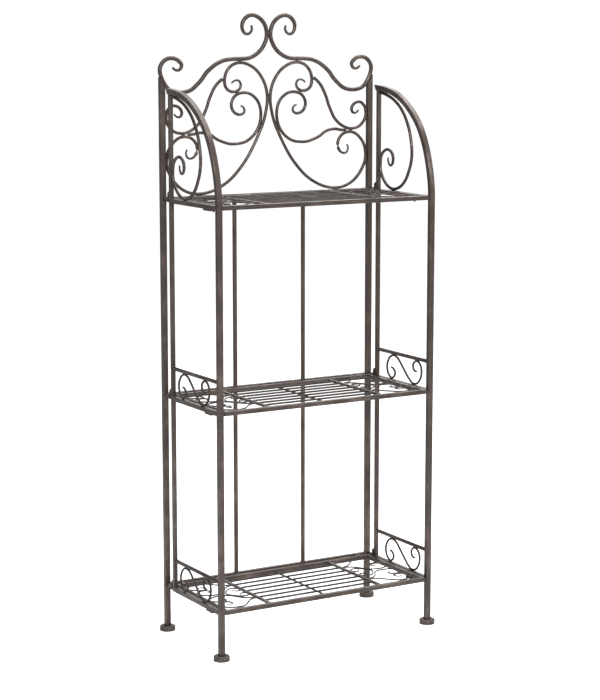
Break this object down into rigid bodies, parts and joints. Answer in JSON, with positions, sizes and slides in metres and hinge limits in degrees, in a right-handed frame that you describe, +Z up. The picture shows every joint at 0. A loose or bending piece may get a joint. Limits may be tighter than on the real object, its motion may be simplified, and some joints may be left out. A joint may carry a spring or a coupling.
{
  "type": "folding shelving unit",
  "caption": "Folding open metal shelving unit: arched side wings, scrolled crown, and slatted shelves that lift up on rear pivots.",
  "frame": {"origin": "on the floor, under the middle of the footprint", "axes": "+Z up, -Y towards the open front, +X to the right seen from the front"},
  "size_m": [0.525, 0.27, 1.27],
  "materials": {
    "post_paint": "satin antique brown-grey paint, faintly streaked, on square steel bar",
    "scroll_paint": "satin antique brown-grey paint on forged round bar",
    "wire_paint": "satin antique brown-grey paint on steel wire",
    "foot_plastic": "brown-grey moulded plastic, coloured to go with the paint",
    "hinge_paint": "satin antique brown-grey paint, rubbed at the moving faces"
  },
  "bodies": {
    "back_frame": {"back_post_left": "post_paint", "back_foot_left": "foot_plastic", "back_rod_left": "scroll_paint", "crest_rod_left": "scroll_paint", "leaf_scroll_left": "scroll_paint", "heart_scroll_left": "scroll_paint", "side_scroll_left": "scroll_paint", "back_post_right": "post_paint", "back_foot_right": "foot_plastic", "back_rod_right": "scroll_paint", "crest_rod_right": "scroll_paint", "leaf_scroll_right": "scroll_paint", "heart_scroll_right": "scroll_paint", "side_scroll_right": "scroll_paint", "back_crossbar_lower": "post_paint", "back_crossbar_middle": "post_paint", "back_crossbar_top": "post_paint", "wing_hinge_eyes": "hinge_paint", "shelf_hinge_lugs": "hinge_paint"},
    "left_wing": {"left_front_post": "post_paint", "left_rear_stile": "post_paint", "left_foot": "foot_plastic", "left_crossbar_lower": "post_paint", "left_crossbar_middle": "post_paint", "left_crossbar_top": "post_paint", "left_gallery_rails": "wire_paint", "left_gallery_scrolls": "wire_paint", "left_arch_scroll": "scroll_paint", "left_shelf_tabs": "hinge_paint", "left_hinge_hooks": "hinge_paint"},
    "right_wing": {"right_front_post": "post_paint", "right_rear_stile": "post_paint", "right_foot": "foot_plastic", "right_crossbar_lower": "post_paint", "right_crossbar_middle": "post_paint", "right_crossbar_top": "post_paint", "right_gallery_rails": "wire_paint", "right_gallery_scrolls": "wire_paint", "right_arch_scroll": "scroll_paint", "right_shelf_tabs": "hinge_paint", "right_hinge_hooks": "hinge_paint"},
    "shelf_lower": {"lower_shelf_frame": "post_paint", "lower_shelf_bearers": "post_paint", "lower_shelf_slats": "wire_paint", "lower_shelf_scrolls_left": "wire_paint", "lower_shelf_scrolls_right": "wire_paint", "lower_shelf_pivots": "hinge_paint"},
    "shelf_middle": {"middle_shelf_frame": "post_paint", "middle_shelf_bearers": "post_paint", "middle_shelf_slats": "wire_paint", "middle_shelf_scrolls_left": "wire_paint", "middle_shelf_scrolls_right": "wire_paint", "middle_shelf_pivots": "hinge_paint"},
    "shelf_top": {"top_shelf_frame": "post_paint", "top_shelf_bearers": "post_paint", "top_shelf_slats": "wire_paint", "top_shelf_scrolls_left": "wire_paint", "top_shelf_scrolls_right": "wire_paint", "top_shelf_pivots": "hinge_paint"}
  },
  "joints": [
    {"name": "lift_lower_shelf", "type": "hinge", "parent": "back_frame", "child": "shelf_lower", "pos_m": [0, 0.108, 0.0965], "axis": [-1, 0, 0], "range_deg": [0, 90]},
    {"name": "lift_middle_shelf", "type": "hinge", "parent": "back_frame", "child": "shelf_middle", "pos_m": [0, 0.108, 0.4975], "axis": [-1, 0, 0], "range_deg": [0, 90]},
    {"name": "lift_top_shelf", "type": "hinge", "parent": "back_frame", "child": "shelf_top", "pos_m": [0, 0.108, 0.8985], "axis": [-1, 0, 0], "range_deg": [0, 90]},
    {"name": "swing_left_wing", "type": "hinge", "parent": "back_frame", "child": "left_wing", "pos_m": [-0.246, 0.093, 0], "axis": [0, 0, -1], "range_deg": [0, 90]},
    {"name": "swing_right_wing", "type": "hinge", "parent": "back_frame", "child": "right_wing", "pos_m": [0.246, 0.093, 0], "axis": [0, 0, 1], "range_deg": [0, 90]}
  ]
}
